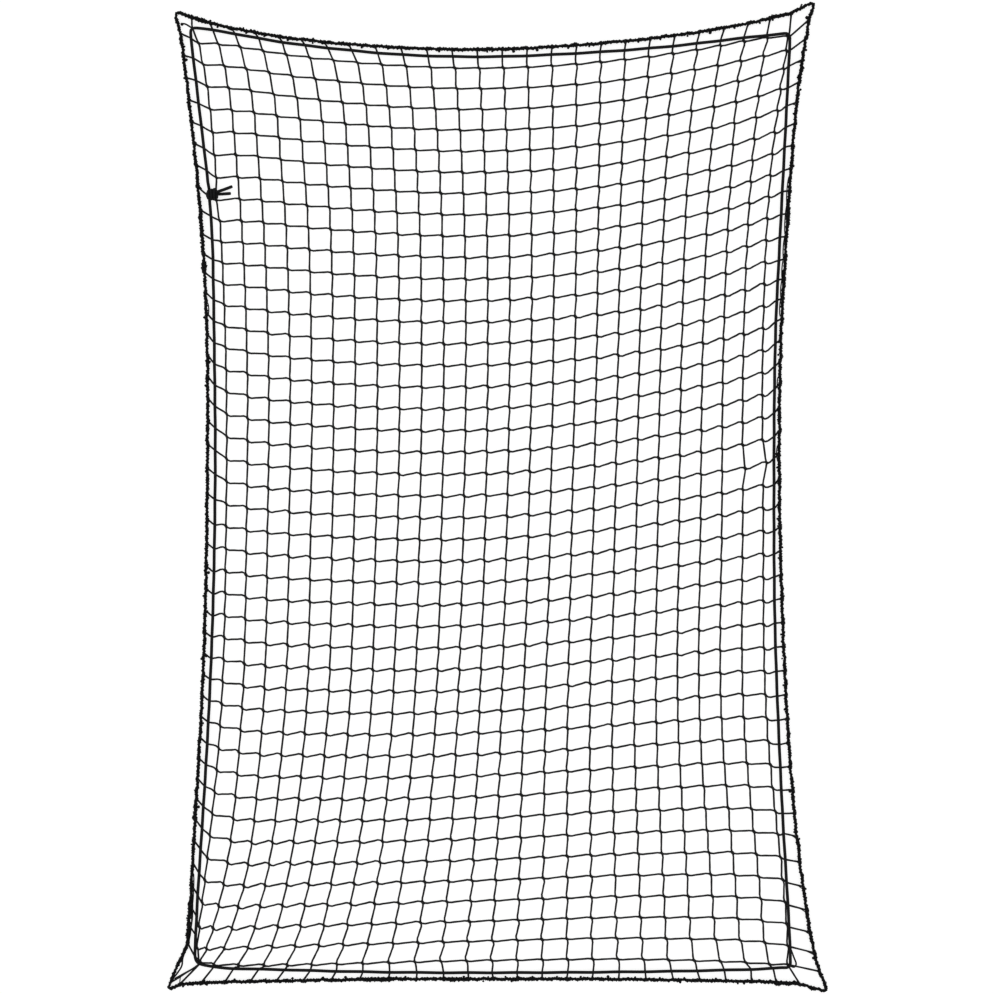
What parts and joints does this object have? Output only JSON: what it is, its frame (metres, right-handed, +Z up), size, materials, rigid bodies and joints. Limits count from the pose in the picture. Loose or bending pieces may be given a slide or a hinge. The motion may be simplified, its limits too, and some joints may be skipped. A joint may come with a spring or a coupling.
{
  "type": "cargo net",
  "caption": "Flat square-mesh cargo net with a thicker edge rope drawn out to four pointed corners and an elastic draw cord, knotted on one side, threaded round the outer meshes.",
  "frame": {"origin": "middle of the net's bounding box, on the floor that it lies on", "axes": "+Y along the net's length, towards the end that its knot is nearer to; +X across its width; +Z up, away from the floor"},
  "size_m": [1.358, 2.0376, 0.0198],
  "materials": {
    "netting_twine": "matt black braided twine",
    "edge_rope": "matt black rope, bound on with twine",
    "elastic_cord": "black woven sleeve over elastic, slight sheen"
  },
  "bodies": {
    "root": {"net": "netting_twine", "edge_rope": "edge_rope", "elastic": "elastic_cord", "elastic_knot": "elastic_cord"}
  },
  "joints": []
}
